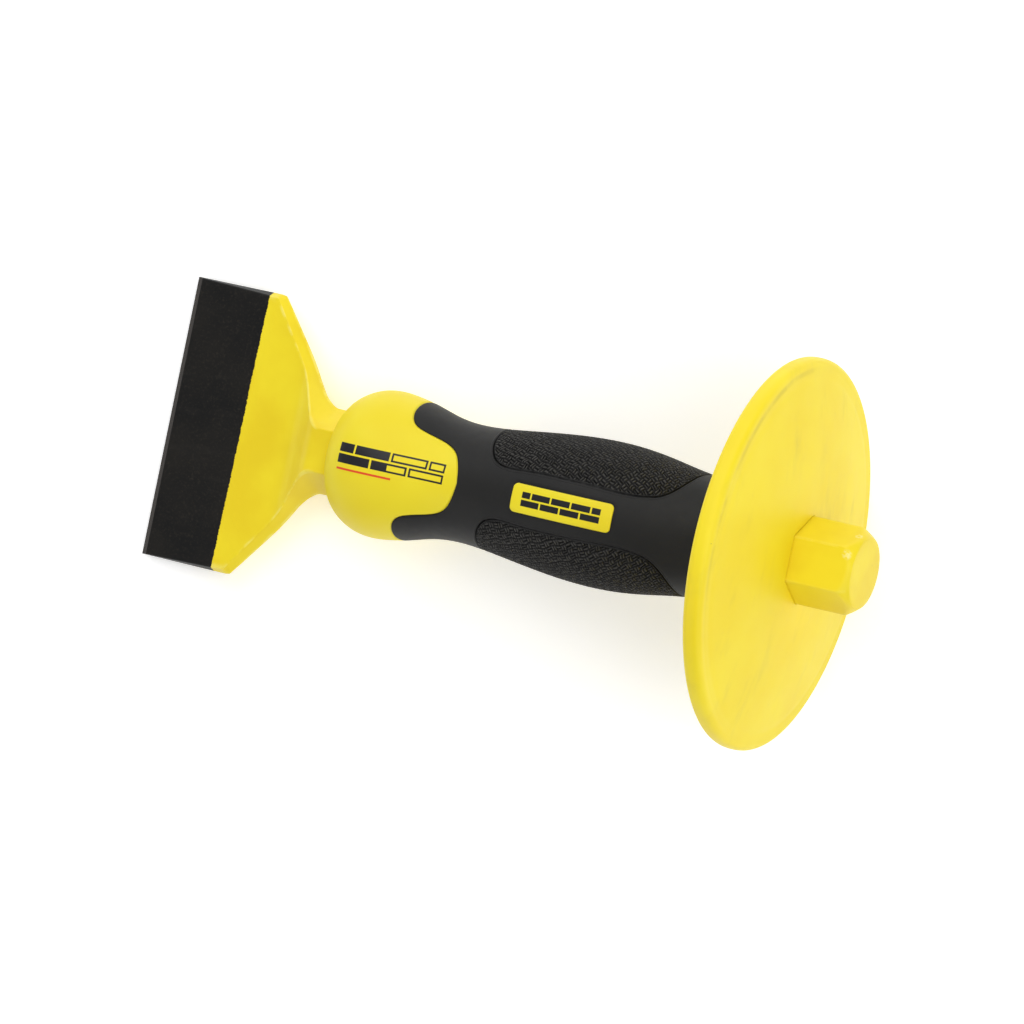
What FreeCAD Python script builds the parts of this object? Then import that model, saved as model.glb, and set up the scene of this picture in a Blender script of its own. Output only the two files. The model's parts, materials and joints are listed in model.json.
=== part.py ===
"""Brick bolster chisel with a ball-fronted soft grip and a round hand guard.

Millimetres. Each piece is drawn in the tool's own axes: +X runs along the tool from
the cutting edge to the struck end, Y is across the blade, and Z is square to the
blade's face. Everything is then laid down together, as the tool rests on a floor: on
the ball behind its blade and on the rim of its guard, with the cutting edge a hair
off the floor. In the finished frame +Z is up, z = 0 is the floor and the origin is
the middle of the footprint.
"""
import FreeCAD, Part
import math
import os

# Forging: blade, fan, neck, hexagonal shank and struck head in one piece of steel.
TOOL_LENGTH = 243.5
BLADE_WIDTH = 90.0
EDGE_LAND = 0.2
BEVEL_LENGTH = 1.9
BEVEL_THICKNESS = 2.6
BLADE_FLAT_END = 30.2
SHOULDER_X = 31.8
SHOULDER_THICKNESS = 6.0
HEX_ACROSS_FLATS = 24.0
HEX_START = 57.0
HEAD_CHAMFER_RADIUS = 11.0
HEAD_CHAMFER_LENGTH = 3.8

# Moulded handle: a hard core pressed on the shank, with a soft grip moulded over it.
CORE_START = 63.6
HANDLE_END = 206.0
CORE_MOUTH_RADIUS = 14.6
SLEEVE_RADIUS = 16.8
SHANK_GAP = 0.02

# Plain raised plates let into the grip, one on each face.
PLATE_LENGTH = 35.4
PLATE_HEIGHT = 9.3
PLATE_CENTRE_X = 149.3
PLATE_CORNER = 1.6
PLATE_DEPTH = 1.6
PLATE_PROUD = 0.25

# Textured pads on the two sides of the grip, each inside an engraved outline.
PAD_GROOVE_WIDTH = 0.9
PAD_GROOVE_DEPTH = 0.45

# Hand guard: a dished disc with a thick rounded rim and a hexagonal hub.
GUARD_RADIUS = 61.8
GUARD_RIM_X = 214.2
GUARD_RIM_RADIUS = 3.25
GUARD_FACE_X = 223.3
GUARD_HUB_RADIUS = 19.0
GUARD_HUB_START = 206.3
GUARD_BORE_GAP = 0.08

HEX_RADIUS = HEX_ACROSS_FLATS / math.sqrt(3.0)
BIG = 200.0

# Blade and neck sections as (x, half width at mid-thickness, half width of the flat
# face, half thickness).
BLADE_SECTIONS = [
    (0.0, BLADE_WIDTH / 2, BLADE_WIDTH / 2 - 0.05, EDGE_LAND / 2),
    (BEVEL_LENGTH, BLADE_WIDTH / 2, BLADE_WIDTH / 2 - 0.15, BEVEL_THICKNESS / 2),
    (BLADE_FLAT_END, 45.2, 43.9, 2.85),
    (SHOULDER_X, 45.1, 41.8, SHOULDER_THICKNESS / 2),
    (43.0, 31.3, 27.0, 4.0),
]
NECK_SECTIONS = [
    (43.0, 31.3, 27.0, 4.0),
    (45.5, 28.0, 23.6, 4.6),
    (48.0, 24.2, 19.4, 5.9),
    (50.5, 19.8, 14.4, 8.0),
    (53.0, 16.7, 10.0, 10.3),
    (55.3, 14.8, 7.7, 11.7),
    (HEX_START, HEX_RADIUS, HEX_RADIUS / 2, HEX_ACROSS_FLATS / 2),
]

# Radius of the handle along the tool: the ball, the neck behind it and the palm swell.
BALL_PROFILE = [(CORE_START, 14.8), (65.0, 17.4), (68.4, 20.5), (73.0, 22.7), (78.4, 23.5), (84.0, 23.0)]
GRIP_PROFILE = [
    (90.0, 21.8), (98.0, 19.7), (105.0, 18.75), (111.0, 18.75), (118.0, 19.35), (126.0, 20.4),
    (134.0, 21.45), (142.0, 22.35), (150.0, 22.9), (158.0, 23.0), (166.0, 22.5), (174.0, 21.4),
    (181.0, 20.2), (190.0, 19.0), (HANDLE_END, 18.2),
]

# Front edge of the soft grip, seen square to the blade's face: it leaves a rounded
# tongue of the hard core bare on each face and reaches forward as a lobe on each side.
TONGUE_EDGE = [
    (111.4, 0.0), (110.9, 3.0), (110.1, 5.6), (108.9, 7.9), (107.0, 9.8), (104.2, 11.2),
    (100.4, 12.3), (96.2, 13.3), (93.0, 14.4), (91.0, 15.8), (89.8, 17.4), (89.0, 19.2),
    (88.5, 21.5), (88.3, 24.0), (88.3, 30.0),
]

# Outline of a textured pad, seen from the side of the tool.
PAD_START = 117.3
PAD_EDGE = [(117.8, 9.0), (119.0, 14.2), (121.3, 16.9), (126.0, 18.7), (134.0, 19.8), (146.0, 21.0)]
PAD_REAR = [(158.0, 21.4), (169.0, 20.6), (176.5, 19.0), (180.9, 17.2), (183.8, 14.4), (186.0, 9.0)]
PAD_TIP = 187.4


def vec(x, y, z=0.0):
    return FreeCAD.Vector(x, y, z)


def section(x, half_width, half_face, half_thickness):
    """Six-sided section with its widest corners at mid-thickness."""
    corners = [
        vec(x, half_width, 0),
        vec(x, half_face, half_thickness),
        vec(x, -half_face, half_thickness),
        vec(x, -half_width, 0),
        vec(x, -half_face, -half_thickness),
        vec(x, half_face, -half_thickness),
    ]
    return Part.makePolygon(corners + corners[:1])


def hex_bar(x0, x1, gap=0.0):
    """Hexagonal bar along X with two flats square to Z, each flat moved out by gap."""
    half_flats = HEX_ACROSS_FLATS / 2 + gap
    radius = 2 * half_flats / math.sqrt(3.0)
    face = Part.Face(section(x0, radius, radius / 2, half_flats))
    return face.extrude(vec(x1 - x0, 0))


def revolved(edges):
    """Solid of revolution about X from a closed loop of edges in the XY plane."""
    wire = Part.Wire(Part.__sortEdges__(edges))
    return Part.Face(wire).revolve(vec(0, 0), vec(1, 0), 360)


def polyline(points):
    return [Part.makeLine(vec(*a), vec(*b)) for a, b in zip(points, points[1:])]


def spline(points, closed=False):
    curve = Part.BSplineCurve()
    curve.interpolate(Points=[vec(*p) for p in points], PeriodicFlag=closed)
    return curve.toShape()


def forging():
    blade = Part.makeLoft([section(*s) for s in BLADE_SECTIONS], True, True)
    neck = Part.makeLoft([section(*s) for s in NECK_SECTIONS], True, False)
    shank = hex_bar(HEX_START, TOOL_LENGTH)
    start = TOOL_LENGTH - HEAD_CHAMFER_LENGTH
    steep = (HEX_RADIUS + 0.5 - HEAD_CHAMFER_RADIUS) / HEAD_CHAMFER_LENGTH
    cone_radius = HEAD_CHAMFER_RADIUS + steep * HEAD_CHAMFER_LENGTH
    cone = Part.makeCone(cone_radius, HEAD_CHAMFER_RADIUS, HEAD_CHAMFER_LENGTH, vec(start, 0), vec(1, 0))
    barrel = Part.makeCylinder(HEX_RADIUS + 5, start - HEX_START, vec(HEX_START, 0), vec(1, 0))
    shank = shank.common(barrel.fuse(cone))
    return blade.fuse([neck, shank]).removeSplitter()


def handle_envelope(inset=0.0):
    """Ball and grip together, as one solid of revolution, drawn in by inset."""
    points = [(x, r - inset) for x, r in BALL_PROFILE + GRIP_PROFILE]
    x0, r0 = points[0]
    x1, r1 = points[-1]
    outline = [spline(points)]
    outline += polyline([(x1, r1), (x1, 0.0), (x0, 0.0), (x0, r0)])
    return revolved(outline)


def grip_zone():
    """Everything behind the grip's front edge and outside the core's sleeve."""
    upper = list(reversed(TONGUE_EDGE))
    lower = [(x, -y) for x, y in TONGUE_EDGE[1:]]
    edge = spline(upper + lower)
    x_side, y_side = TONGUE_EDGE[-1]
    frame = polyline([(x_side, -y_side), (HANDLE_END + 5, -y_side), (HANDLE_END + 5, y_side), (x_side, y_side)])
    face = Part.Face(Part.Wire(Part.__sortEdges__([edge] + frame)))
    block = face.extrude(vec(0, 0, BIG))
    block.translate(vec(0, 0, -BIG / 2))
    sleeve = Part.makeCylinder(SLEEVE_RADIUS, HANDLE_END, vec(0, 0), vec(1, 0))
    return block.cut(sleeve)


def pad_outline(inset):
    """Leaf outline of one textured pad in the XZ plane, drawn in by inset."""
    half = [(PAD_START, 0.0)] + PAD_EDGE + PAD_REAR + [(PAD_TIP, 0.0)]
    middle = (PAD_START + PAD_TIP) / 2
    length = (PAD_TIP - PAD_START) / 2
    height = max(z for _, z in half)
    kx = (length - 1.6 * inset) / length
    kz = (height - inset) / height
    half = [(middle + (x - middle) * kx, z * kz) for x, z in half]
    upper = [(x, 0, z) for x, z in half]
    lower = [(x, 0, -z) for x, z in reversed(half[1:-1])]
    return Part.Face(Part.Wire(spline(upper + lower, True)))


def pad_grooves():
    """Engraved ring round each pad, as a thin cutter just under the grip's surface."""
    shell = handle_envelope(-1.0).cut(handle_envelope(PAD_GROOVE_DEPTH))
    outer = pad_outline(0.0).extrude(vec(0, BIG, 0))
    inner = pad_outline(PAD_GROOVE_WIDTH).extrude(vec(0, BIG, 0))
    side = outer.cut(inner).common(shell)
    other = side.mirror(vec(0, 0, 0), vec(0, 1, 0))
    return side, other


def plate_block(side):
    """Rounded rectangular block over one face of the grip."""
    block = Part.makeBox(PLATE_LENGTH, PLATE_HEIGHT, BIG / 2,
                         vec(PLATE_CENTRE_X - PLATE_LENGTH / 2, -PLATE_HEIGHT / 2, 0))
    upright = [e for e in block.Edges if abs(e.tangentAt(e.FirstParameter).z) > 0.9]
    block = block.makeFillet(PLATE_CORNER, upright)
    if side < 0:
        block = block.mirror(vec(0, 0, 0), vec(0, 0, 1))
    return block


def hand_guard():
    """Dished disc: a rounded rim, a face that climbs to the shank, and a hub."""
    rim_y = GUARD_RADIUS - GUARD_RIM_RADIUS
    rim_back = (GUARD_RIM_X + GUARD_RIM_RADIUS, rim_y)
    rim_front = (GUARD_RIM_X - GUARD_RIM_RADIUS, rim_y)
    rim = Part.Arc(vec(*rim_back), vec(GUARD_RIM_X, GUARD_RADIUS), vec(*rim_front)).toShape()
    face = spline([(GUARD_FACE_X, 0.0), (222.9, 20.0), (221.2, 38.0), (218.8, 51.0), rim_back])
    inside = spline([rim_front, (213.6, 52.5), (216.4, 39.0), (218.2, 27.0), (218.6, GUARD_HUB_RADIUS)])
    hub = polyline([(218.6, GUARD_HUB_RADIUS), (GUARD_HUB_START, GUARD_HUB_RADIUS - 1.0),
                    (GUARD_HUB_START, 0.0), (GUARD_FACE_X, 0.0)])
    disc = revolved([face, rim, inside] + hub)
    return disc.cut(hex_bar(GUARD_HUB_START - 5, GUARD_FACE_X + 5, GUARD_BORE_GAP))


def support_gap(tilt, profile):
    """How far the guard's rim hangs above the ball, and the ball's lowest height."""
    sine, cosine = math.sin(tilt), math.cos(tilt)
    ball_low = min(p.x * sine - p.y * cosine for p in profile)
    rim_low = GUARD_RIM_X * sine - (GUARD_RADIUS - GUARD_RIM_RADIUS) * cosine - GUARD_RIM_RADIUS
    return rim_low - ball_low, ball_low


def lay_down(shapes):
    """Tip the tool until its ball and its guard both touch the floor, then centre it."""
    profile = spline([(x, r) for x, r in BALL_PROFILE + GRIP_PROFILE]).discretize(2000)
    low, high = 0.0, math.radians(40)
    for _ in range(60):
        tilt = (low + high) / 2
        if support_gap(tilt, profile)[0] > 0:
            high = tilt
        else:
            low = tilt
    lift = -support_gap(tilt, profile)[1]
    turn = FreeCAD.Rotation(vec(0, 1, 0), -math.degrees(tilt))
    for shape in shapes.values():
        shape.Placement = FreeCAD.Placement(vec(0, 0, lift), turn).multiply(shape.Placement)
    box = Part.Compound(list(shapes.values())).optimalBoundingBox(False)
    middle = (box.XMin + box.XMax) / 2
    for shape in shapes.values():
        shape.translate(vec(-middle, 0, 0))
    return math.degrees(tilt), middle, lift


def main():
    envelope = handle_envelope()
    zone = grip_zone()
    core = envelope.cut(zone)
    mouth = Part.makeCone(CORE_MOUTH_RADIUS, HEX_RADIUS - 0.6, 2.2, vec(CORE_START, 0), vec(1, 0))
    core = core.cut(hex_bar(CORE_START - 5, HANDLE_END + 5, SHANK_GAP)).cut(mouth)
    grip = envelope.common(zone)
    for groove in pad_grooves():
        grip = grip.cut(groove)
    ring = handle_envelope(-PLATE_PROUD).cut(handle_envelope(PLATE_DEPTH))
    plates = {}
    for name, side in (("badge_plate_front", 1), ("badge_plate_back", -1)):
        pieces = ring.common(plate_block(side)).Solids
        plates[name] = max(pieces, key=lambda piece: piece.Volume)
        grip = grip.cut(plates[name])
    shapes = {"forged_chisel": forging(), "handle_core": core, "soft_grip": grip}
    shapes.update(plates)
    shapes["hand_guard"] = hand_guard()
    tilt, middle, lift = lay_down(shapes)
    print("tilt %.4f deg, middle %.3f, lift %.4f" % (tilt, middle, lift))
    os.makedirs("parts", exist_ok=True)
    for name, shape in shapes.items():
        solid = shape.Solids[0] if len(shape.Solids) == 1 else shape
        print(name, len(shape.Solids), shape.isValid(), round(shape.Volume / 1000, 2), "cm3")
        solid.exportStep("parts/%s.step" % name)


main()
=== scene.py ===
import json
import math
import bmesh
import bpy
import numpy as np
from mathutils import Matrix, Vector


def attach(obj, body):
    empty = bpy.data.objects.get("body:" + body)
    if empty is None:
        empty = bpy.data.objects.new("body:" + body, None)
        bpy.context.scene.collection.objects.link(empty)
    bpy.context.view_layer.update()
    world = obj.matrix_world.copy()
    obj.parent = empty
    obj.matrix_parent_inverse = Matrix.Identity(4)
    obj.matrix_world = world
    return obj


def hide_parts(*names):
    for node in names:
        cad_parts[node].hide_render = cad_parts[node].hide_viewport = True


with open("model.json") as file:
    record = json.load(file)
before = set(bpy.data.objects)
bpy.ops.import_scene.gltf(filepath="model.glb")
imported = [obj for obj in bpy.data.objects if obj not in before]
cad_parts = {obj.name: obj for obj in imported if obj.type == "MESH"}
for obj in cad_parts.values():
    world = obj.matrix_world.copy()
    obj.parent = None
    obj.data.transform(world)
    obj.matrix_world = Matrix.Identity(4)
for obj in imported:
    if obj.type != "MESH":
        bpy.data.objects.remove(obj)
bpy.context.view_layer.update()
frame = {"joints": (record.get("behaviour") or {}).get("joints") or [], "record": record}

MM = 0.001

# ---------------------------------------------------------------- tool axes
# Every piece is drawn in millimetres in the tool's own axes: x from the cutting edge
# to the struck end, y across the blade, z square to its face. TOOL places that frame.
record = frame["record"]
mounts = {m["name"]: m for m in record["mounts"]}
axis = Vector(frame["joints"][0]["axis"]).normalized()
side = Vector((0.0, 1.0, 0.0))
normal = axis.cross(side)
TOOL = Matrix((axis, side, normal)).transposed().to_4x4()
TOOL.translation = Vector(mounts["cutting_edge"]["pos_m"])
TOOL_TURN = np.array(TOOL.to_3x3())
TOOL_ORIGIN = np.array(TOOL.translation)

# ---------------------------------------------------------------- sizes
TOOL_LENGTH = 243.5
HEX_HALF_FLATS = 12.0
HEX_RADIUS = HEX_HALF_FLATS * 2 / math.sqrt(3)
HEAD_RADIUS = 11.0
HEAD_CHAMFER = 3.8
FACE_DOME = 0.25
HANDLE_END = 206.0
RUBBER_INNER = 16.9
CORE_NOSE_RADIUS = 14.75
CORE_BORE_START = 72.0
CORE_BORE_GAP = 0.05
SLEEVE_GAP = 0.15
GUARD_BORE_GAP = 0.09

# The grip stands GRIP_SKIN over the outline that it shares with the ball. Where they meet, the
# ball is cut back by SEAM_GROOVE and the grip's lip is rounded. The recesses are in the grip.
GRIP_SKIN = 0.06
SEAM_GROOVE = 0.38
LIP_DROP, LIP_WIDTH = 0.42, 0.7
PAD_RECESS = 1.1
PLATE_RECESS = 0.22

# The pads' basket weave: the size of a cell, and the turn of its rows from the tool's axis.
WEAVE_CELL = 1.92
WEAVE_TURN = math.radians(-27.0)

# Points round each ring. Past EVEN_FROM the grip's rows stand square to the axis.
COLUMNS = 288
EVEN_FROM = 115.0

BALL_AND_GRIP = [
    (63.9, 15.4), (65.2, 17.6), (68.4, 20.5), (73.0, 22.7), (78.4, 23.5), (84.0, 23.0), (90.0, 21.8),
    (98.0, 19.7), (105.0, 18.75), (111.0, 18.75), (118.0, 19.35), (126.0, 20.4), (134.0, 21.45),
    (142.0, 22.35), (150.0, 22.9), (158.0, 23.0), (166.0, 22.5), (174.0, 21.4), (181.0, 20.2),
    (190.0, 19.0), (206.0, 18.2),
]
TONGUE_EDGE = [
    (111.4, 0.0), (110.9, 3.0), (110.1, 5.6), (108.9, 7.9), (107.0, 9.8), (104.2, 11.2), (100.4, 12.3),
    (96.2, 13.3), (93.0, 14.4), (91.0, 15.8), (89.8, 17.4), (89.0, 19.2), (88.5, 21.5),
]
PAD_EDGE = [
    (117.3, 0.0), (117.8, 9.0), (119.0, 14.2), (121.3, 16.9), (126.0, 18.7), (134.0, 19.8),
    (146.0, 21.0), (158.0, 21.4), (169.0, 20.6), (176.5, 19.0), (180.9, 17.2), (183.8, 14.4),
    (186.0, 9.0), (187.4, 0.0),
]


# ---------------------------------------------------------------- curves
def natural_spline(t, y, at):
    """Natural cubic spline through (t, y), read at the given places."""
    t, y, at = (np.asarray(v, float) for v in (t, y, at))
    n, h = len(t), np.diff(t)
    a = np.zeros((n, n))
    b = np.zeros(n)
    a[0, 0] = a[-1, -1] = 1.0
    for i in range(1, n - 1):
        a[i, i - 1 : i + 2] = h[i - 1], 2 * (h[i - 1] + h[i]), h[i]
        b[i] = 6 * ((y[i + 1] - y[i]) / h[i] - (y[i] - y[i - 1]) / h[i - 1])
    m = np.linalg.solve(a, b)
    i = np.clip(np.searchsorted(t, at) - 1, 0, n - 2)
    u, v = t[i + 1] - at, at - t[i]
    cubic = (m[i] * u**3 + m[i + 1] * v**3) / (6 * h[i])
    return cubic + (y[i] / h[i] - m[i] * h[i] / 6) * u + (y[i + 1] / h[i] - m[i + 1] * h[i] / 6) * v


def curve_through(points, count):
    """Smooth plane curve through points, as count points spaced evenly along its chord."""
    p = np.array(points, float)
    t = np.concatenate([[0], np.cumsum(np.hypot(*np.diff(p, axis=0).T))])
    at = np.linspace(0, t[-1], count)
    return np.stack([natural_spline(t, p[:, k], at) for k in range(p.shape[1])], 1)


def smoothstep(a, b, x):
    t = np.clip((np.asarray(x, float) - a) / (b - a), 0.0, 1.0)
    return t * t * (3 - 2 * t)


ENVELOPE = curve_through(BALL_AND_GRIP, 1600)


def radius(x):
    """Radius of the ball and grip at x."""
    return np.interp(x, ENVELOPE[:, 0], ENVELOPE[:, 1])


def hex_radius(phi, gap=0.0):
    """Distance from the axis to the hexagon's outline, at an angle from +z."""
    a = np.mod(phi + math.pi / 6, math.pi / 3) - math.pi / 6
    return (HEX_HALF_FLATS + gap) / np.cos(a)


# ---------------------------------------------------------------- mesh helpers
def make_object(name, points, faces, body, material, nodes=(), smooth_angle=40.0, tint=None):
    """One piece of the object, from points in the tool's axes in millimetres."""
    placed = np.asarray(points) * MM @ TOOL_TURN.T + TOOL_ORIGIN
    mesh = bpy.data.meshes.new(name)
    mesh.from_pydata(placed.tolist(), [], faces)
    if tint is not None:
        mesh.attributes.new("tint", "FLOAT", "POINT").data.foreach_set("value", tint.astype(np.float32))
    work = bmesh.new()
    work.from_mesh(mesh)
    bmesh.ops.remove_doubles(work, verts=work.verts, dist=1e-6)
    bmesh.ops.dissolve_degenerate(work, edges=work.edges, dist=1e-7)
    bmesh.ops.recalc_face_normals(work, faces=work.faces)
    work.to_mesh(mesh)
    work.free()
    mesh.shade_smooth()
    mesh.set_sharp_from_angle(angle=math.radians(smooth_angle))
    mesh.materials.append(material)
    obj = bpy.data.objects.new(name, mesh)
    bpy.context.scene.collection.objects.link(obj)
    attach(obj, body)
    if nodes:
        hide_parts(*nodes)
    return obj


def grid_faces(rows, columns, wrap_rows=False):
    """Quads between closed rings of points. wrap_rows joins the last ring to the first."""
    r = np.arange(rows if wrap_rows else rows - 1)
    c = np.arange(columns)
    r, c = (v.ravel() for v in np.meshgrid(r, c, indexing="ij"))
    r2, c2 = (r + 1) % rows, (c + 1) % columns
    return np.stack([r * columns + c, r * columns + c2, r2 * columns + c2, r2 * columns + c], 1).tolist()


def ring_points(x, r, phi):
    """Points at x and distance r from the axis, at angles phi from +z towards +y."""
    x, r, phi = np.broadcast_arrays(x, r, phi)
    return np.stack([x, r * np.sin(phi), r * np.cos(phi)], -1)


def distance_to_line(points, line):
    """Shortest distance from each point to a polyline, all in the plane."""
    best = np.full(len(points), 1e9)
    for a, b in zip(line[:-1], line[1:]):
        d = b - a
        t = np.clip(((points - a) @ d) / max(d @ d, 1e-12), 0, 1)
        best = np.minimum(best, np.hypot(*(points - a - t[:, None] * d).T))
    return best


# ---------------------------------------------------------------- materials
class Nodes:
    """A short way to write a material's node tree. Coordinates are the tool's, in mm."""

    def __init__(self, name):
        self.material = bpy.data.materials.new(name)
        self.material.use_nodes = True
        self.tree = self.material.node_tree
        self.shader = self.tree.nodes["Principled BSDF"]
        place = self.add("ShaderNodeTexCoord")
        to_tool = self.add("ShaderNodeMapping", vector_type="TEXTURE")
        to_tool.inputs["Location"].default_value = TOOL.translation
        to_tool.inputs["Rotation"].default_value = TOOL.to_euler()
        to_tool.inputs["Scale"].default_value = (MM, MM, MM)
        self.link(place.outputs["Object"], to_tool.inputs["Vector"])
        self.place = to_tool.outputs[0]

    def add(self, kind, **settings):
        node = self.tree.nodes.new(kind)
        for key, value in settings.items():
            setattr(node, key, value)
        return node

    def link(self, a, b):
        self.tree.links.new(a, b)

    def put(self, socket, value):
        if isinstance(value, (int, float, tuple)):
            socket.default_value = value
        else:
            self.link(value, socket)

    def math(self, operation, a, b=0.0):
        node = self.add("ShaderNodeMath", operation=operation)
        for socket, value in zip(node.inputs, (a, b)):
            self.put(socket, value)
        return node.outputs[0]

    def step(self, low, high, value):
        node = self.add("ShaderNodeMapRange", interpolation_type="SMOOTHSTEP")
        self.put(node.inputs["Value"], value)
        self.put(node.inputs["From Min"], low)
        self.put(node.inputs["From Max"], high)
        return node.outputs["Result"]

    def mix(self, factor, a, b):
        node = self.add("ShaderNodeMix", data_type="RGBA")
        self.put(node.inputs["Factor"], factor)
        self.put(node.inputs["A"], a)
        self.put(node.inputs["B"], b)
        return node.outputs["Result"]

    def blend(self, factor, a, b):
        node = self.add("ShaderNodeMix", data_type="FLOAT")
        self.put(node.inputs["Factor"], factor)
        self.put(node.inputs["A"], a)
        self.put(node.inputs["B"], b)
        return node.outputs["Result"]

    def stretched(self, scale, offset=(0.0, 0.0, 0.0)):
        node = self.add("ShaderNodeMapping")
        node.inputs["Scale"].default_value = scale
        node.inputs["Location"].default_value = offset
        self.link(self.place, node.inputs["Vector"])
        return node.outputs[0]

    def noise(self, size, detail=2.0, place=None, rough=0.5):
        """Noise from 0 to 1 whose features are about size millimetres."""
        node = self.add("ShaderNodeTexNoise")
        node.inputs["Scale"].default_value = 1.0 / size
        node.inputs["Detail"].default_value = detail
        node.inputs["Roughness"].default_value = rough
        self.link(place or self.place, node.inputs["Vector"])
        return node.outputs["Fac"]

    def axes(self):
        node = self.add("ShaderNodeSeparateXYZ")
        self.link(self.place, node.inputs[0])
        return node.outputs

    def bump(self, height, depth_mm, over=None):
        """Bump from a 0 to 1 height, with its real depth in millimetres."""
        node = self.add("ShaderNodeBump")
        node.inputs["Strength"].default_value = 1.0
        node.inputs["Distance"].default_value = depth_mm * MM
        self.put(node.inputs["Height"], height)
        if over is not None:
            self.link(over, node.inputs["Normal"])
        return node.outputs[0]

    def finish(self, colour, roughness, normal=None, **constants):
        self.put(self.shader.inputs["Base Color"], colour)
        self.put(self.shader.inputs["Roughness"], roughness)
        if normal is not None:
            self.link(normal, self.shader.inputs["Normal"])
        for key, value in constants.items():
            self.put(self.shader.inputs[key.replace("_", " ")], value)
        return self.material


# Half the width over which a printed edge fades, and the line width of a hollow brick.
PRINT_SOFT = 0.07
HOLLOW_LINE = 0.62


def brick_mask(n, x0, middle, bricks, rows, brick, gap, hollow_from=1e3):
    """1 on the bricks of a small running-bond panel on the front face, 0 elsewhere.

    Bricks past hollow_from are drawn as outlines."""
    x, y, z = n.axes()
    pitch, course = brick[0] + gap, brick[1] + gap
    x1 = x0 + bricks * pitch - gap
    half = (rows * course - gap) / 2
    up = n.math("DIVIDE", n.math("SUBTRACT", y, middle - half), course)
    row = n.math("FLOOR", up)
    in_row = n.math("MULTIPLY", n.math("FRACT", up), course)
    shift = n.math("MULTIPLY", n.math("MODULO", row, 2.0), pitch / 2)
    along = n.math("DIVIDE", n.math("ADD", n.math("SUBTRACT", x, x0), shift), pitch)
    in_brick = n.math("MULTIPLY", n.math("FRACT", along), pitch)
    soft = PRINT_SOFT

    def inside(edge):
        mask = n.step(brick[1] - edge + soft, brick[1] - edge - soft, in_row)
        for low, high, value in (
            (edge - soft, edge + soft, in_row),
            (brick[0] - edge + soft, brick[0] - edge - soft, in_brick),
            (edge - soft, edge + soft, in_brick),
            (x0 + edge - soft, x0 + edge + soft, x),
            (x1 - edge + soft, x1 - edge - soft, x),
        ):
            mask = n.math("MULTIPLY", mask, n.step(low, high, value))
        return mask

    hollow = n.math("MULTIPLY", inside(HOLLOW_LINE), n.step(hollow_from - soft, hollow_from + soft, x))
    mask = n.math("MULTIPLY", inside(0.0), n.math("SUBTRACT", 1.0, hollow))
    for low, high, value in (
        (middle - half - soft, middle - half + soft, y), (middle + half + soft, middle + half - soft, y),
        (0.0, 1.0, z),
    ):
        mask = n.math("MULTIPLY", mask, n.step(low, high, value))
    return mask


def line_mask(n, x0, x1, middle, half):
    """1 on a thin straight stroke on the front face."""
    x, y, z = n.axes()
    soft = PRINT_SOFT
    mask = n.step(0.0, 1.0, z)
    for low, high, value in (
        (x0 - soft, x0 + soft, x), (x1 + soft, x1 - soft, x),
        (middle - half - soft, middle - half + soft, y), (middle + half + soft, middle + half - soft, y),
    ):
        mask = n.math("MULTIPLY", mask, n.step(low, high, value))
    return mask


YELLOW_PAINT = (0.895, 0.72, 0.021, 1.0)
YELLOW_PAINT_DEEP = (0.835, 0.63, 0.015, 1.0)
YELLOW_PLASTIC = (0.855, 0.715, 0.02, 1.0)
YELLOW_PLASTIC_DEEP = (0.825, 0.66, 0.012, 1.0)
GUARD_YELLOW = (0.895, 0.725, 0.02, 1.0)
GUARD_YELLOW_DEEP = (0.865, 0.67, 0.012, 1.0)
BLACK_INK = (0.012, 0.012, 0.014, 1.0)
RED_INK = (0.75, 0.07, 0.015, 1.0)

# The black coating ends about LACQUER_END, on a line a little aslant. The bevel is bare steel
# up to BEVEL_BARE and coated from BEVEL_COATED on.
LACQUER_END, LACQUER_SLOPE = 26.6, 0.011
BEVEL_BARE, BEVEL_COATED = 1.85, 2.15

BALL_BRICKS = {"x0": 71.4, "middle": 1.7, "bricks": 3, "rows": 2, "brick": (11.3, 2.9), "gap": 0.62,
               "hollow_from": 88.5}
BALL_UNDERLINE = {"x0": 71.4, "x1": 90.2, "middle": -3.3, "half": 0.34}
PLATE_BRICKS = {"x0": 135.5, "middle": 0.0, "bricks": 4, "rows": 2, "brick": (6.49, 2.0), "gap": 0.55}


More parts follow.
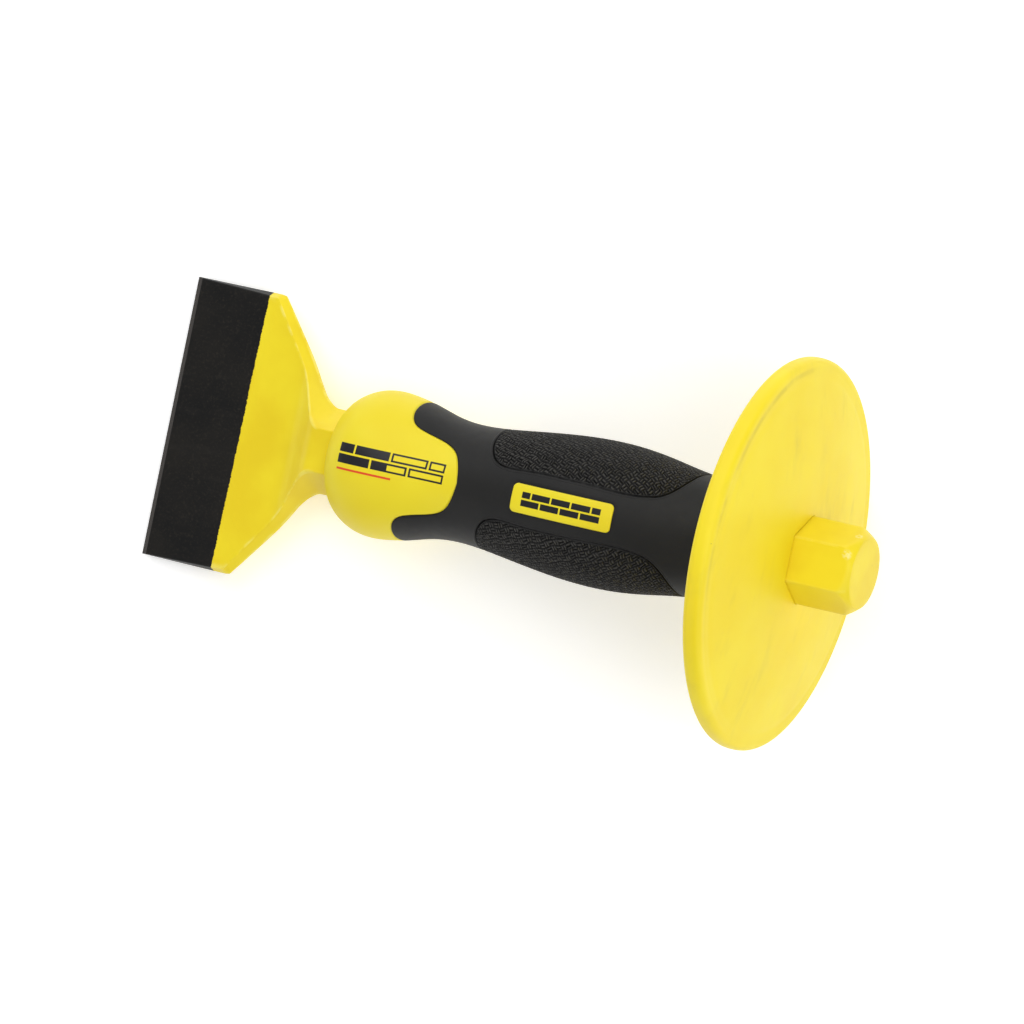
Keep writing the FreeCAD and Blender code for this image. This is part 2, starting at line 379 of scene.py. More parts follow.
def forging_material():
    """Yellow paint, a black lacquered working end and a bare ground bevel."""
    n = Nodes("painted_forging")
    x, y, _ = n.axes()
    broad, fine = n.noise(22.0, 3.0), n.noise(1.1, 3.0)
    paint = n.mix(n.step(0.35, 0.7, broad), YELLOW_PAINT, YELLOW_PAINT_DEEP)
    # Painted highlight: paler paint along the forging's rounded edges stands in for their glint. The paint
    # is chipped by the struck end.
    edge = n.add("ShaderNodeAttribute", attribute_name="tint").outputs["Fac"]
    edge_highlight = n.math("MULTIPLY", n.step(0.1, 0.9, edge), n.step(0.36, 0.62, n.noise(5.0, 3.0)))
    edge_highlight = n.math("MULTIPLY", edge_highlight, n.blend(n.step(56.0, 62.0, x), 0.5, 0.12))
    paint = n.mix(edge_highlight, paint, (0.94, 0.85, 0.22, 1.0))
    chips = n.math("MULTIPLY", n.step(0.74, 0.78, n.noise(1.9, 4.0)), n.step(236.0, 240.5, x))
    paint = n.mix(chips, paint, (0.16, 0.12, 0.06, 1.0))
    # Two painted highlights: pale spots at the corners of the head's chamfer, where its edges catch the
    # light.
    for spot, reach in (((241.2, 5.0, 11.6), 1.9), ((241.2, 10.9, 5.0), 1.5)):
        away = n.add("ShaderNodeVectorMath", operation="DISTANCE")
        n.link(n.place, away.inputs[0])
        away.inputs[1].default_value = spot
        chamfer_highlight = n.math("MULTIPLY", n.step(reach, reach * 0.45, away.outputs["Value"]),
                       n.step(0.38, 0.6, n.noise(0.7, 3.0)))
        paint = n.mix(n.math("MULTIPLY", chamfer_highlight, 0.5), paint, (0.95, 0.9, 0.5, 1.0))
    # Black lacquer with faint mottling and streaks along the tool.
    streak = n.noise(3.0, 3.0, n.stretched((0.12, 1.0, 1.0)))
    speck = n.step(0.5, 0.72, n.noise(0.8, 5.0, rough=0.75))
    lacquer = n.mix(n.step(0.3, 0.75, broad), (0.003, 0.0032, 0.0035, 1.0), (0.009, 0.0079, 0.0065, 1.0))
    lacquer = n.mix(n.math("MULTIPLY", speck, 0.85), lacquer, (0.024, 0.0195, 0.0135, 1.0))
    lacquer = n.mix(n.math("MULTIPLY", n.step(0.55, 0.8, streak), 0.35), lacquer, (0.017, 0.015, 0.013, 1.0))
    # The edge of the lacquer wanders a little, with a fine ragged fringe.
    wander = n.math("MULTIPLY", n.math("SUBTRACT", n.noise(9.0, 2.0), 0.5), 0.8)
    ragged = n.math("MULTIPLY", n.math("SUBTRACT", n.noise(0.6, 3.0), 0.5), 0.75)
    slope = n.math("MULTIPLY", y, LACQUER_SLOPE)
    limit = n.math("ADD", n.math("ADD", wander, ragged), n.math("ADD", slope, LACQUER_END))
    past = n.math("SUBTRACT", x, limit)
    painted = n.step(-0.08, 0.08, past)
    colour = n.mix(painted, lacquer, paint)
    # Ground bevel: bare steel, browned, with grinding marks square to the edge.
    grind = n.noise(0.5, 2.0, n.stretched((0.15, 1.6, 1.0)))
    steel = n.mix(grind, (0.014, 0.0112, 0.0095, 1.0), (0.042, 0.034, 0.029, 1.0))
    uneven = n.math("MULTIPLY", n.noise(2.5, 2.0), 0.35)
    bare = n.step(BEVEL_COATED, BEVEL_BARE, n.math("ADD", x, uneven))
    colour = n.mix(bare, colour, steel)
    rough = n.blend(painted, n.blend(speck, 0.42, 0.6), n.blend(n.noise(5.0, 3.0), 0.34, 0.46))
    rough = n.blend(bare, rough, 0.42)
    metal = n.blend(bare, 0.0, 0.6)
    skin = n.bump(n.noise(2.4, 2.0), 0.035)
    skin = n.bump(fine, 0.012, skin)
    skin = n.bump(painted, 0.05, skin)
    return n.finish(colour, rough, skin, Metallic=metal, IOR=1.5, Specular_IOR_Level=0.27)


def plastic_material(name, light, deep, printed=None, underline=None, grime_and_crease_shade=False):
    """Hard yellow plastic, slightly cloudy, with faint flow marks and scuffs."""
    n = Nodes(name)
    broad = n.noise(26.0, 2.0)
    colour = n.mix(n.step(0.3, 0.75, broad), light, deep)
    scuff = n.step(0.62, 0.78, n.noise(4.0, 5.0, n.stretched((1.0, 0.5, 0.7)), 0.65))
    colour = n.mix(n.math("MULTIPLY", scuff, 0.10), colour, (0.55, 0.42, 0.08, 1.0))
    rough = n.blend(n.noise(6.0, 3.0), 0.42, 0.54)
    if printed:
        ink = brick_mask(n, **printed)
        colour = n.mix(ink, colour, BLACK_INK)
        rough = n.blend(ink, rough, 0.38)
    if underline:
        colour = n.mix(line_mask(n, **underline), colour, RED_INK)
    if grime_and_crease_shade:
        # Hand grime in faint streaks over the face, and small marks near the rim.
        _, y, z = n.axes()
        from_axis = n.math("SQRT", n.math("ADD", n.math("MULTIPLY", y, y), n.math("MULTIPLY", z, z)))
        smear = n.step(0.52, 0.78, n.noise(9.0, 4.0, n.stretched((1.0, 0.35, 1.0)), 0.6))
        smear = n.math("MULTIPLY", smear, n.blend(n.noise(30.0, 1.0), 0.0, 0.4))
        colour = n.mix(smear, colour, (0.52, 0.4, 0.05, 1.0))
        mark = n.step(0.75, 0.80, n.noise(1.8, 3.0, rough=0.6))
        mark = n.math("MULTIPLY", mark, n.step(53.0, 58.0, from_axis))
        colour = n.mix(n.math("MULTIPLY", mark, 0.75), colour, (0.2, 0.16, 0.06, 1.0))
        # Painted shade: darker colour in the crease where the face meets the rim, heaviest at the upper near
        # side.
        crease_shade = n.math("MULTIPLY", n.step(57.0, 58.3, from_axis), n.step(59.9, 58.7, from_axis))
        upper_near = n.math("MULTIPLY", n.step(-12.0, 30.0, z), n.step(-40.0, 15.0, y))
        crease_shade = n.math("MULTIPLY", crease_shade, upper_near)
        crease_shade = n.math("MULTIPLY", crease_shade, n.step(0.32, 0.62, n.noise(12.0, 3.0)))
        colour = n.mix(n.math("MULTIPLY", crease_shade, 0.4), colour, (0.55, 0.41, 0.02, 1.0))
    skin = n.bump(n.noise(9.0, 2.0), 0.06)
    skin = n.bump(n.noise(0.6, 2.0), 0.006, skin)
    return n.finish(colour, rough, skin, IOR=1.48, Specular_IOR_Level=0.36, Subsurface_Weight=0.1,
                    Subsurface_Radius=(1.0, 0.75, 0.15), Subsurface_Scale=0.003)


def rubber_material(name, textured):
    """Black moulded rubber: a dull skin with faint dust; where textured, lighter on the weave's crowns, with
    painted shade in its gaps and groove.
    """
    n = Nodes(name)
    broad = n.noise(18.0, 3.0)
    colour = n.mix(n.step(0.3, 0.7, broad), (0.009, 0.009, 0.0091, 1.0), (0.012, 0.0117, 0.0113, 1.0))
    dust = n.step(0.55, 0.8, n.noise(1.4, 5.0, rough=0.7))
    colour = n.mix(n.math("MULTIPLY", dust, 0.15), colour, (0.035, 0.033, 0.031, 1.0))
    if textured:
        crown = n.add("ShaderNodeAttribute", attribute_name="tint").outputs["Fac"]
        # Lighter on the weave's crowns, in patches.
        lighter_crowns = n.math("MULTIPLY", n.step(0.6, 1.0, crown), n.blend(n.noise(5.0, 3.0), 0.3, 1.0))
        colour = n.mix(lighter_crowns, colour, (0.062, 0.0595, 0.054, 1.0))
        # Painted shade: near black in the weave's gaps and the deep parts of the groove.
        colour = n.mix(n.step(0.65, 0.1, crown), colour, (0.0006, 0.0006, 0.0006, 1.0))
    rough = n.blend(n.noise(3.0, 3.0), 0.5, 0.62)
    skin = n.bump(n.noise(0.25, 2.0), 0.015)
    skin = n.bump(n.noise(6.0, 2.0), 0.05, skin)
    return n.finish(colour, rough, skin, IOR=1.5, Specular_IOR_Level=0.27)


FORGING = forging_material()
BALL_PLASTIC = plastic_material("ball_plastic", YELLOW_PLASTIC, YELLOW_PLASTIC_DEEP,
                                printed=BALL_BRICKS, underline=BALL_UNDERLINE)
PLATE_PLASTIC = plastic_material("plate_plastic", YELLOW_PLASTIC, YELLOW_PLASTIC_DEEP,
                                 printed=PLATE_BRICKS)
GUARD_PLASTIC = plastic_material("guard_plastic", GUARD_YELLOW, GUARD_YELLOW_DEEP, grime_and_crease_shade=True)
RUBBER = rubber_material("grip_rubber", False)
PAD_RUBBER = rubber_material("pad_rubber", True)


# ---------------------------------------------------------------- forging
SECTIONS = [
    # x, half width at mid-thickness, half width of the face, half thickness
    (0.0, 45.0, 44.95, 0.1), (1.9, 45.0, 44.85, 1.3), (30.2, 45.2, 43.9, 2.85), (31.8, 45.1, 41.8, 3.0),
    (43.0, 31.3, 27.0, 4.0), (45.5, 28.0, 23.6, 4.6), (48.0, 24.2, 19.4, 5.9), (50.5, 19.8, 14.4, 8.0),
    (53.0, 16.7, 10.0, 10.3), (55.3, 14.8, 7.7, 11.7), (57.0, HEX_RADIUS, HEX_RADIUS / 2, HEX_HALF_FLATS),
    (TOOL_LENGTH, HEX_RADIUS, HEX_RADIUS / 2, HEX_HALF_FLATS),
]


def forging_stations():
    """Places along the tool, close together wherever the shape turns."""
    spans = [
        (-0.04, 0.0, 1), (0.0, 0.15, 2), (0.15, 1.7, 4), (1.7, 2.1, 4), (2.1, 29.0, 54), (29.0, 33.4, 30),
        (33.4, 43.0, 28), (43.0, 58.0, 60), (58.0, 64.0, 8), (64.0, 219.0, 24), (219.0, 239.0, 30),
        (239.0, TOOL_LENGTH, 26),
    ]
    xs = [np.linspace(a, b, k, endpoint=False) for a, b, k in spans]
    return np.concatenate(xs + [[TOOL_LENGTH]])


def softened(x, table, width):
    """Piecewise linear table read at x, with its corners rounded over a width."""
    offsets = np.linspace(-1, 1, 15)
    weights = (1 - offsets**2) ** 2
    weights /= weights.sum()
    total = np.zeros((len(x), table.shape[1] - 1))
    for o, w in zip(offsets, weights):
        at = x + o * width
        total += w * np.stack([np.interp(at, table[:, 0], table[:, k]) for k in range(1, table.shape[1])], 1)
    return total


def rounded_section(corners, radii, side_counts, arc_count):
    """Closed outline of a polygon with each corner rounded, and which points are corners."""
    n = len(corners)
    arcs = []
    for i in range(n):
        p, a, b = corners[i], corners[i - 1], corners[(i + 1) % n]
        u, v = a - p, b - p
        lu, lv = np.hypot(*u), np.hypot(*v)
        u, v = u / lu, v / lv
        half = 0.5 * math.acos(np.clip(u @ v, -1, 1))
        reach = min(radii[i] / math.tan(half), 0.45 * lu, 0.45 * lv)
        r = reach * math.tan(half)
        centre = p + (u + v) / max(np.hypot(*(u + v)), 1e-9) * (r / math.sin(half))
        s, e = p + u * reach, p + v * reach
        a0, a1 = np.arctan2(*(s - centre)[::-1]), np.arctan2(*(e - centre)[::-1])
        turn = (a1 - a0 + math.pi) % (2 * math.pi) - math.pi
        angles = a0 + turn * np.linspace(0, 1, arc_count)
        arcs.append(centre + r * np.stack([np.cos(angles), np.sin(angles)], 1))
    out, edge = [], []
    for i in range(n):
        out.append(arcs[i])
        edge += [1.0] * arc_count + [0.0] * side_counts[i]
        s, e = arcs[i][-1], arcs[(i + 1) % n][0]
        k = side_counts[i]
        t = (np.arange(1, k + 1) / (k + 1))[:, None]
        out.append(s + (e - s) * t)
    return np.concatenate(out), np.array(edge)


# Points along each side of a section, most of them on the two wide faces, and round each corner.
SIDE_POINTS = [9, 44, 9, 9, 44, 9]
CORNER_POINTS = 6


def build_forging():
    xs = forging_stations()
    table = np.array(SECTIONS)
    sharp, soft = softened(xs, table, 0.35), softened(xs, table, 1.5)
    shape = sharp + (soft - sharp) * smoothstep(38.0, 44.0, xs)[:, None]
    shape = np.where((xs < 2.2)[:, None], softened(xs, table, 0.12), shape)
    rows = []
    for x, (w, f, t) in zip(xs, shape):
        t = max(t, 0.03)
        corners = np.array([(w, 0), (f, t), (-f, t), (-w, 0), (-f, -t), (f, -t)], float)
        edge = 0.4 + 0.6 * float(smoothstep(42, 50, x)) - 0.45 * float(smoothstep(56, 60, x))
        rim = 0.4 + 0.8 * float(smoothstep(34, 46, x)) - 0.65 * float(smoothstep(52, 58, x))
        edge = min(edge, 0.9 * t)
        radii = [rim, edge, edge, rim, edge, edge]
        outline, edge_tint = rounded_section(corners, radii, SIDE_POINTS, CORNER_POINTS)
        limit = HEAD_RADIUS + (HEX_RADIUS + 0.5 - HEAD_RADIUS) * (TOOL_LENGTH - x) / HEAD_CHAMFER
        if x > TOOL_LENGTH - HEAD_CHAMFER:
            r = np.hypot(*outline.T)
            blunt = -0.25 * np.log(np.exp(-r / 0.25) + np.exp(-limit / 0.25))
            outline *= (blunt / r)[:, None]
        rows.append(np.column_stack([np.full(len(outline), x), outline]))
    # Slightly domed struck face.
    last = rows[-1]
    for k, push in ((0.985, 0.10), (0.95, 0.16), (0.85, 0.20), (0.6, 0.24), (0.3, 0.25), (0.0, 0.25)):
        row = last.copy()
        row[:, 1:] *= k
        row[:, 0] = TOOL_LENGTH - FACE_DOME + push
        rows.append(row)
    for row in rows[: len(xs)]:
        row[:, 0] -= FACE_DOME * (row[:, 0] >= TOOL_LENGTH - 1e-6)
    points = np.array(rows)
    n_rows, n_cols = points.shape[:2]
    tint = np.tile(edge_tint, n_rows)
    tint *= points[:, :, 0].ravel() < TOOL_LENGTH - 1.0
    # Hammered and forged surfaces are never quite flat.
    p = points.reshape(-1, 3)
    wave = 0.05 * np.sin(p[:, 0] * 0.31 + p[:, 1] * 0.17) * np.sin(p[:, 1] * 0.23 + 1.3)
    wave *= smoothstep(28, 36, p[:, 0]) * smoothstep(60, 54, p[:, 0])
    p[:, 2] += wave * np.sign(p[:, 2])
    faces = grid_faces(n_rows, n_cols)
    faces.append(list(range(n_cols)))
    return make_object("forged_chisel_body", p, faces, "chisel", FORGING,
                       ("forged_chisel",), 32.0, tint)


build_forging()

# ---------------------------------------------------------------- handle
PHI = np.linspace(0, 2 * math.pi, COLUMNS, endpoint=False)


def edge_angle_table():
    """Where the soft grip starts along the tool, against the angle from a face's middle."""
    line = curve_through(TONGUE_EDGE, 400)
    angle = np.arcsin(np.clip(line[:, 1] / radius(line[:, 0]), -1, 1))
    keep = np.concatenate([[True], np.diff(np.maximum.accumulate(angle)) > 1e-6])
    return line[keep, 0], angle[keep]


EDGE_X, EDGE_ANGLE = edge_angle_table()


def grip_start(phi):
    """x of the soft grip's front edge; the same on both faces and both sides."""
    fold = np.abs(np.mod(phi + math.pi / 2, math.pi) - math.pi / 2)
    return np.interp(fold, EDGE_ANGLE, EDGE_X)


def seam_line():
    phi = np.linspace(-math.pi / 2, math.pi / 2, 721)
    x = grip_start(phi)
    return np.column_stack([x, radius(x) * phi])


SEAM = seam_line()


def seam_distance(x, phi):
    """Distance along the surface from the grip's front edge."""
    fold = np.mod(phi + math.pi / 2, math.pi) - math.pi / 2
    flat = np.column_stack([x.ravel(), (radius(x) * fold).ravel()])
    return distance_to_line(flat, SEAM).reshape(x.shape)


def build_core():
    start = grip_start(PHI)
    front = ENVELOPE[0, 0]
    bore = hex_radius(PHI, CORE_BORE_GAP)
    rows = [ring_points(CORE_BORE_START, bore, PHI), ring_points(front + 0.35, bore, PHI)]
    rows.append(ring_points(front + 0.02, bore * 0.6 + CORE_NOSE_RADIUS * 0.4 + 0.1, PHI))
    rows.append(ring_points(front - 0.08, CORE_NOSE_RADIUS, PHI))
    # The ball, close rows near the front and near the seam.
    steps = np.concatenate([np.linspace(0, 0.06, 12) ** 1.3 * 0.06 ** -0.3, np.linspace(0.07, 0.985, 74),
                            np.linspace(0.988, 1.0, 9)])
    for v in steps:
        x = front + (start - front) * v
        d = seam_distance(x, PHI)
        rows.append(ring_points(x, radius(x) - SEAM_GROOVE * smoothstep(0.55, 0.0, d), PHI))
    rows.append(ring_points(start + 0.25, radius(start) - 1.0, PHI))
    rows.append(ring_points(start + 2.5, RUBBER_INNER - SLEEVE_GAP, PHI))
    rows.append(ring_points(HANDLE_END - 0.1, RUBBER_INNER - SLEEVE_GAP, PHI))
    rows.append(ring_points(HANDLE_END - 0.1, bore, PHI))
    points = np.array(rows)
    faces = grid_faces(len(rows), COLUMNS, wrap_rows=True)
    return make_object("ball_and_core", points.reshape(-1, 3), faces, "chisel", BALL_PLASTIC,
                       ("handle_core",), 42.0)


build_core()


def pad_loop():
    """A pad's outline in the unrolled surface: x against arc length from the tool's side."""
    half = curve_through(PAD_EDGE, 260)
    x, z = half.T
    angle = math.pi / 2 - np.arccos(np.clip(z / radius(x), -1, 1))
    upper = np.column_stack([x, radius(x) * angle])
    loop = np.concatenate([upper, (upper * (1, -1))[-2:0:-1]])
    # Even spacing round the loop.
    closed = np.vstack([loop, loop[:1]])
    t = np.concatenate([[0], np.cumsum(np.hypot(*np.diff(closed, axis=0).T))])
    at = np.linspace(0, t[-1], 860, endpoint=False)
    return np.column_stack([np.interp(at, t, closed[:, k]) for k in (0, 1)])


PAD_LOOP = pad_loop()


def pad_depth(x, phi):
    """Signed distance into a pad from its outline, for places on the whole grip."""
    fold = np.abs(np.mod(phi + math.pi, 2 * math.pi) - math.pi) - math.pi / 2
    flat = np.column_stack([x.ravel(), (radius(x) * fold).ravel()])
    d = distance_to_line(flat, np.vstack([PAD_LOOP, PAD_LOOP[:1]])[::4])
    upper = PAD_LOOP[PAD_LOOP[:, 1] >= 0]
    upper = upper[np.argsort(upper[:, 0])]
    half_width = np.interp(flat[:, 0], upper[:, 0], upper[:, 1], left=0.0, right=0.0)
    return np.where(np.abs(flat[:, 1]) < half_width, d, -d).reshape(x.shape)


PLATE_CENTRE = 149.3
PLATE_HALF = (17.6, 4.6)
PLATE_CORNER = 1.6


def plate_depth(x, phi):
    """Signed distance into a plate's rounded outline, on either face."""
    fold = np.mod(phi + math.pi / 2, math.pi) - math.pi / 2
    qx = np.abs(x - PLATE_CENTRE) - (PLATE_HALF[0] - PLATE_CORNER)
    qy = np.abs(radius(x) * fold) - (PLATE_HALF[1] - PLATE_CORNER)
    outside = np.hypot(np.maximum(qx, 0), np.maximum(qy, 0)) + np.minimum(np.maximum(qx, qy), 0)
    return PLATE_CORNER - outside


def build_grip():
    start = grip_start(PHI)
    near = np.array([0, 0.06, 0.14, 0.26, 0.42, 0.62, 0.86, 1.15, 1.5, 2.0])
    rows = []
    places = [start + v for v in near]
    places += [start + 2.0 + (EVEN_FROM - start - 2.0) * v for v in np.linspace(0, 1, 40)[1:]]
    places += [np.full(COLUMNS, v) for v in np.linspace(EVEN_FROM, HANDLE_END - 0.5, 182)[1:]]
    places += [np.full(COLUMNS, HANDLE_END - v) for v in (0.25, 0.08, 0.0)]
    trims = [0.0] * (len(places) - 3) + [0.08, 0.25, 0.5]
    for x, trim in zip(places, trims):
        r = radius(x) + GRIP_SKIN - trim
        lip = 1 - np.clip(seam_distance(x, PHI) / LIP_WIDTH, 0, 1)
        r = r - LIP_DROP * (1 - np.sqrt(1 - lip**2))
        r = r - PAD_RECESS * smoothstep(-0.45, 0.25, pad_depth(x, PHI))
        r = r - PLATE_RECESS * smoothstep(-0.9, -0.1, plate_depth(x, PHI))
        rows.append(ring_points(x, r, PHI))
    rows.append(ring_points(HANDLE_END, RUBBER_INNER, PHI))
    rows.append(ring_points(start + 3.0, RUBBER_INNER, PHI))
    rows.append(ring_points(start + 0.6, radius(start) - 1.2, PHI))
    rows.append(ring_points(start, radius(start) - 0.8, PHI))
    points = np.array(rows)
    faces = grid_faces(len(rows), COLUMNS, wrap_rows=True)
    return make_object("soft_grip_body", points.reshape(-1, 3), faces, "chisel", RUBBER,
                       ("soft_grip",), 50.0)


build_grip()


def weave_height(x, s):
    """Moulded basket-weave grain of the pads, 0 in the gaps to 1 on the crowns."""
    x = x + 0.25 * np.sin(s * 0.9 + x * 0.35) + 0.12 * np.sin(s * 2.3 + x * 1.1)
    s = s + 0.25 * np.sin(x * 0.8 - s * 0.2) + 0.12 * np.sin(x * 1.9 + s * 1.3)
    a = (x * math.cos(WEAVE_TURN) + s * math.sin(WEAVE_TURN)) / WEAVE_CELL
    b = (s * math.cos(WEAVE_TURN) - x * math.sin(WEAVE_TURN)) / WEAVE_CELL
    odd = np.mod(np.floor(a) + np.floor(b), 2) > 0.5
    a, b = a - np.floor(a), b - np.floor(b)
    # Each cell holds two ridges, side by side, turned a quarter from cell to cell.
    side, end = np.where(odd, a, b), np.where(odd, b, a)
    side = np.mod(side * 2.0, 1.0)
    ridge = smoothstep(0.05, 0.36, np.minimum(side, 1 - side))
    ends = smoothstep(0.0, 0.17, np.minimum(end, 1 - end))
    return ridge * (0.2 + 0.8 * ends)


def build_pad(name, sign):
    """One textured pad: a flush rim, an engraved groove and a basket-weave field."""
    loop = PAD_LOOP
    tangent = np.roll(loop, -1, axis=0) - np.roll(loop, 1, axis=0)
    tangent /= np.hypot(*tangent.T)[:, None]
    inward = np.column_stack([-tangent[:, 1], tangent[:, 0]])
    middle = np.column_stack([np.clip(loop[:, 0], 136.0, 170.0), np.zeros(len(loop))])
    inward *= np.sign(((middle - loop) * inward).sum(1))[:, None]
    # (distance in from the outline, height over the grip's surface)
    rim = [(-0.85, -0.6), (-0.8, -0.02), (-0.74, 0.062), (-0.45, 0.062), (-0.2, 0.05), (-0.06, -0.02),
           (0.06, -0.26), (0.18, -0.5), (0.3, -0.58), (0.42, -0.48), (0.52, -0.2), (0.6, 0.0)]
    # The groove is deep round both ends and shallow along the straight sides.
    deep = np.abs(inward[:, 0]) ** 0.8
    deep = np.clip(0.3 + 0.9 * deep + 0.15 * np.sin(loop[:, 0] * 1.9) * np.sin(loop[:, 0] * 0.7), 0.2, 1.0)
    flat = []
    for d, h in rim:
        height = h * np.where((h < 0.0) & (d > -0.5), deep, 1.0)
        flat.append((loop + inward * d, height, np.clip(0.55 + 1.2 * height, 0, 0.55)))
    inner = loop + inward * rim[-1][0]
    for v in np.linspace(0, 1, 94)[1:]:
        p = inner + (middle - inner) * v
        crown = weave_height(p[:, 0], p[:, 1] + 40 * (sign < 0))
        fade = float(smoothstep(0.0, 0.02, v))
        flat.append((p, (0.06 - 0.58 * (1 - crown)) * fade, 0.55 + (crown - 0.55) * fade))
    flat = flat[::-1]
    under = np.full(len(loop), -0.95)
    flat.append((loop + inward * 0.4, under, under * 0))
    flat.append((middle, under, under * 0))
    rows = []
    for p, h, _ in flat:
        r = radius(p[:, 0])
        phi = math.pi / 2 + p[:, 1] / r
        row = ring_points(p[:, 0], r + h, phi)
        row[:, 1] *= sign
        rows.append(row)
    points = np.array(rows)
    faces = grid_faces(len(rows), len(loop))
    crown = np.concatenate([c for _, _, c in flat])
    return make_object(name, points.reshape(-1, 3), faces, "chisel", PAD_RUBBER,
                       (), 60.0, crown)


build_pad("grip_pad_right", 1)
build_pad("grip_pad_left", -1)


def build_plate(name, node, sign):
    """Rounded plate wrapped on the grip, with a softly bevelled edge."""
    hx, hy = PLATE_HALF
    corner = np.linspace(0, math.pi / 2, 9)
    outline = []
    for k, (sx, sy) in enumerate(((1, 1), (-1, 1), (-1, -1), (1, -1))):
        a = corner + k * math.pi / 2
        c = np.array([sx * (hx - PLATE_CORNER), sy * (hy - PLATE_CORNER)])
        outline.append(c + PLATE_CORNER * np.column_stack([np.cos(a), np.sin(a)]))
    outline = np.concatenate(outline)
    closed = np.vstack([outline, outline[:1]])
    t = np.concatenate([[0], np.cumsum(np.hypot(*np.diff(closed, axis=0).T))])
    at = np.linspace(0, t[-1], 220, endpoint=False)
    loop = np.column_stack([np.interp(at, t, closed[:, k]) for k in (0, 1)])
    middle = np.column_stack([np.clip(loop[:, 0], -(hx - hy), hx - hy), np.zeros(len(loop))])
    rings = [(0.0, -1.1), (0.0, -0.12), (0.012, 0.02), (0.035, 0.12), (0.07, 0.18), (0.12, 0.2), (0.3, 0.2),
             (0.55, 0.2), (0.8, 0.2), (1.0, 0.2)]
    rows = []
    for v, h in rings + [(1.0, -1.1)]:
        p = loop + (middle - loop) * v
        x = PLATE_CENTRE + p[:, 0]
        row = ring_points(x, radius(x) + h, p[:, 1] / radius(x))
        row[:, 2] *= sign
        rows.append(row)
    points = np.array(rows)
    faces = grid_faces(len(rows), len(loop), wrap_rows=True)
    return make_object(name, points.reshape(-1, 3), faces, "chisel", PLATE_PLASTIC,
                       (node,), 40.0)


build_plate("plate_front", "badge_plate_front", 1)
build_plate("plate_back", "badge_plate_back", -1)

# ---------------------------------------------------------------- hand guard
GUARD_RADIUS, RIM_X, RIM_R = 61.8, 214.2, 3.25
RIM_SQUARENESS, RIM_INSET = 2.8, 0.17
GUARD_FACE_X, HUB_START, HUB_RADIUS = 223.3, 206.3, 19.0
CREASE_DEPTH, CREASE_RADIUS, CREASE_WIDTH = 0.16, 56.0, 1.3


def build_guard():
    rim_y = GUARD_RADIUS - RIM_R - RIM_INSET
    face = curve_through([(GUARD_FACE_X, 15.6), (222.9, 22.0), (221.2, 38.0), (218.8, 51.0),
                          (RIM_X + RIM_R, rim_y)], 90)
    face[:, 0] -= CREASE_DEPTH * np.exp(-(((face[:, 1] - CREASE_RADIUS) / CREASE_WIDTH) ** 2))
    a = np.linspace(0, math.pi, 40)[1:-1]
    rim = np.column_stack([RIM_X + RIM_R * np.sign(np.cos(a)) * np.abs(np.cos(a)) ** (2 / RIM_SQUARENESS),
                           rim_y + RIM_R * np.sin(a) ** (2 / RIM_SQUARENESS)])
    inside = curve_through([(RIM_X - RIM_R, rim_y), (213.6, 52.5), (216.4, 39.0), (218.2, 27.0),
                            (218.4, HUB_RADIUS + 1.6)], 70)
    fillet = np.array([(218.3, HUB_RADIUS + 1.0), (217.9, HUB_RADIUS + 0.45), (217.2, HUB_RADIUS + 0.1)])
    hub = np.array([(216.0, HUB_RADIUS), (212.0, HUB_RADIUS - 0.35), (208.0, HUB_RADIUS - 0.75),
                    (206.9, HUB_RADIUS - 0.9), (206.45, HUB_RADIUS - 1.1), (HUB_START, HUB_RADIUS - 1.5)])
    rows = [ring_points(GUARD_FACE_X - 3.0, hex_radius(PHI, GUARD_BORE_GAP), PHI),
            ring_points(GUARD_FACE_X - 0.5, hex_radius(PHI, GUARD_BORE_GAP), PHI),
            ring_points(GUARD_FACE_X - 0.18, hex_radius(PHI, 0.16), PHI),
            ring_points(GUARD_FACE_X - 0.02, hex_radius(PHI, 0.4), PHI),
            ring_points(GUARD_FACE_X, hex_radius(PHI, 0.8), PHI)]
    for x, r in np.concatenate([face, rim, inside, fillet, hub]):
        rows.append(ring_points(x, r, PHI))
    rows.append(ring_points(HUB_START, hex_radius(PHI, GUARD_BORE_GAP), PHI))
    points = np.array(rows)
    faces = grid_faces(len(rows), COLUMNS, wrap_rows=True)
    return make_object("hand_guard_disc", points.reshape(-1, 3), faces, "guard",
                       GUARD_PLASTIC, ("hand_guard",), 42.0)


build_guard()

# ---------------------------------------------------------------- floor, light, camera
def floor_material():
    n = Nodes("pale_floor")
    tone = n.mix(n.noise(300.0, 2.0), (0.93, 0.93, 0.93, 1.0), (0.95, 0.95, 0.95, 1.0))
    return n.finish(tone, 0.75, n.bump(n.noise(3.0, 2.0), 0.02), Specular_IOR_Level=0.1,
                    Emission_Color=(1.0, 1.0, 1.0, 1.0), Emission_Strength=0.32)


bpy.ops.mesh.primitive_plane_add(size=6.0, location=(0, 0, 0))
floor = bpy.context.object
floor.name = "floor"
floor.data.materials.append(floor_material())

scene = bpy.context.scene
scene.view_settings.view_transform = "Standard"
world = bpy.data.worlds.new("studio")
scene.world = world
world.use_nodes = True
world.node_tree.nodes["Background"].inputs["Color"].default_value = (1.0, 1.0, 1.0, 1.0)
world.node_tree.nodes["Background"].inputs["Strength"].default_value = 0.25


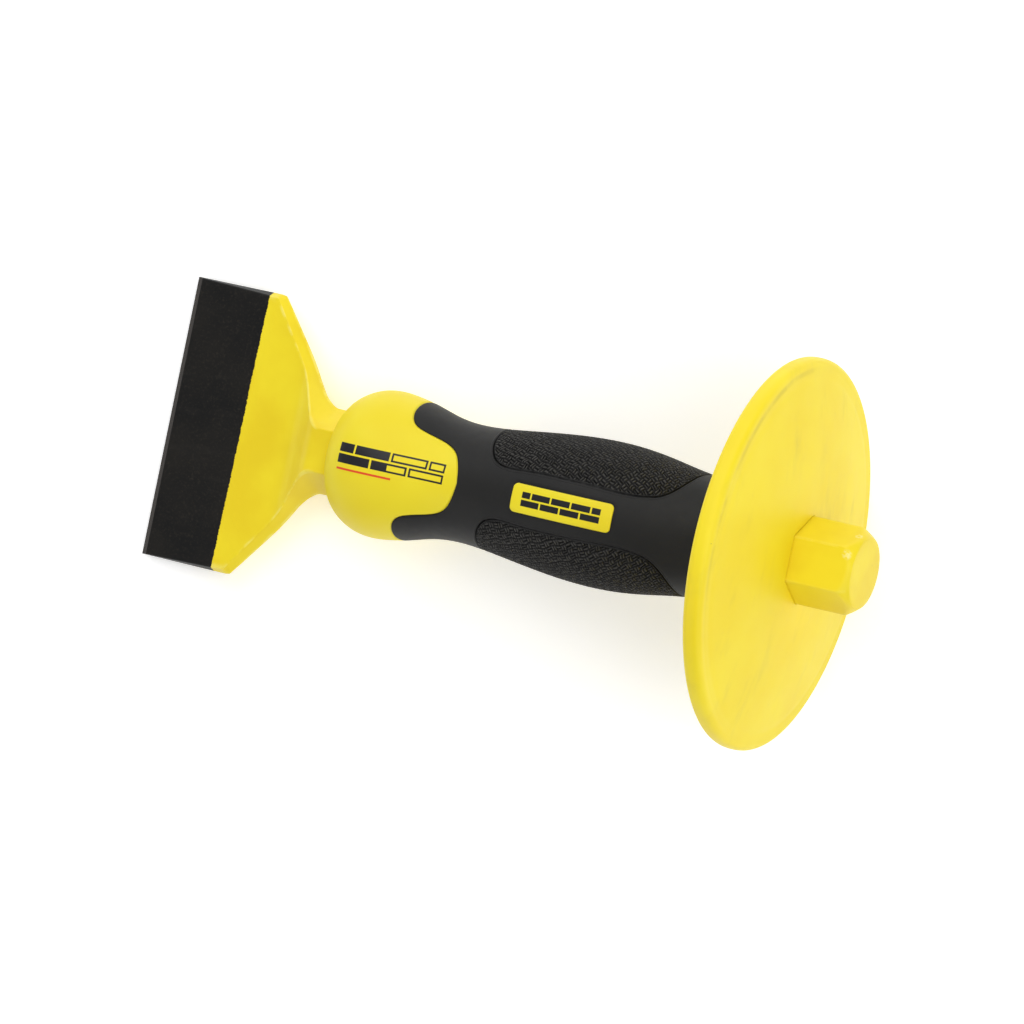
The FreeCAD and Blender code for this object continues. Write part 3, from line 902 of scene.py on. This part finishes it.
def area_light(name, azimuth, elevation, power, size=0.8, distance=1.5):
    """Square softbox aimed at the tool, from a compass direction and a height in degrees."""
    a, e = math.radians(azimuth), math.radians(elevation)
    out = Vector((math.cos(e) * math.cos(a), math.cos(e) * math.sin(a), math.sin(e)))
    data = bpy.data.lights.new(name, "AREA")
    data.shape = "SQUARE"
    data.size = size
    data.energy = power
    lamp = bpy.data.objects.new(name, data)
    scene.collection.objects.link(lamp)
    lamp.location = out * distance + Vector((0.0, 0.0, 0.04))
    lamp.rotation_euler = (-out).to_track_quat("-Z", "Y").to_euler()
    return lamp


area_light("end_high", 0, 62, 4.5)
area_light("end_low", 0, 30, 3.3)
area_light("back_high", 120, 62, 3.7)
area_light("back_left", 135, 30, 4.4)
area_light("back", 90, 30, 5.3)
area_light("front_left", 225, 30, 2.9)
area_light("front_right", 315, 30, 3.8)
area_light("overhead", 0, 90, 4.2, 1.4, 1.9)

# The view: the tool's axis leans towards the camera by AXIS_LEAN, runs across the
# picture by AXIS_TURN below level, and the tool is rolled a little on its axis.
AXIS_LEAN, AXIS_TURN, TOOL_ROLL = (math.radians(v) for v in (24.35, 12.93, 2.8))
SENSOR_WIDTH = 36.0
FOCAL_OVER_WIDTH = 7.8125
VIEW_DISTANCE = 2.5442
EDGE_IN_VIEW = Vector((-0.10845, 0.03079, -VIEW_DISTANCE))


def photo_camera():
    """The camera that sees the tool as the photograph does, placed from the tool's own axes."""
    along = Vector((math.cos(AXIS_TURN) * math.cos(AXIS_LEAN),
                    -math.sin(AXIS_TURN) * math.cos(AXIS_LEAN), math.sin(AXIS_LEAN)))
    facing = Vector((0, 0, 1)) - along * along.z
    facing.normalize()
    across = facing.cross(along)
    y = across * math.cos(TOOL_ROLL) + facing * math.sin(TOOL_ROLL)
    z = facing * math.cos(TOOL_ROLL) - across * math.sin(TOOL_ROLL)
    tool_in_view = Matrix((along, y, z)).transposed().to_4x4()
    tool_in_view.translation = EDGE_IN_VIEW
    data = bpy.data.cameras.new("camera")
    data.sensor_width = SENSOR_WIDTH
    data.lens = SENSOR_WIDTH * FOCAL_OVER_WIDTH
    data.clip_start, data.clip_end = 0.1, 20.0
    cam = bpy.data.objects.new("camera", data)
    scene.collection.objects.link(cam)
    cam.matrix_world = TOOL @ tool_in_view.inverted()
    scene.camera = cam


photo_camera()
bpy.context.view_layer.update()
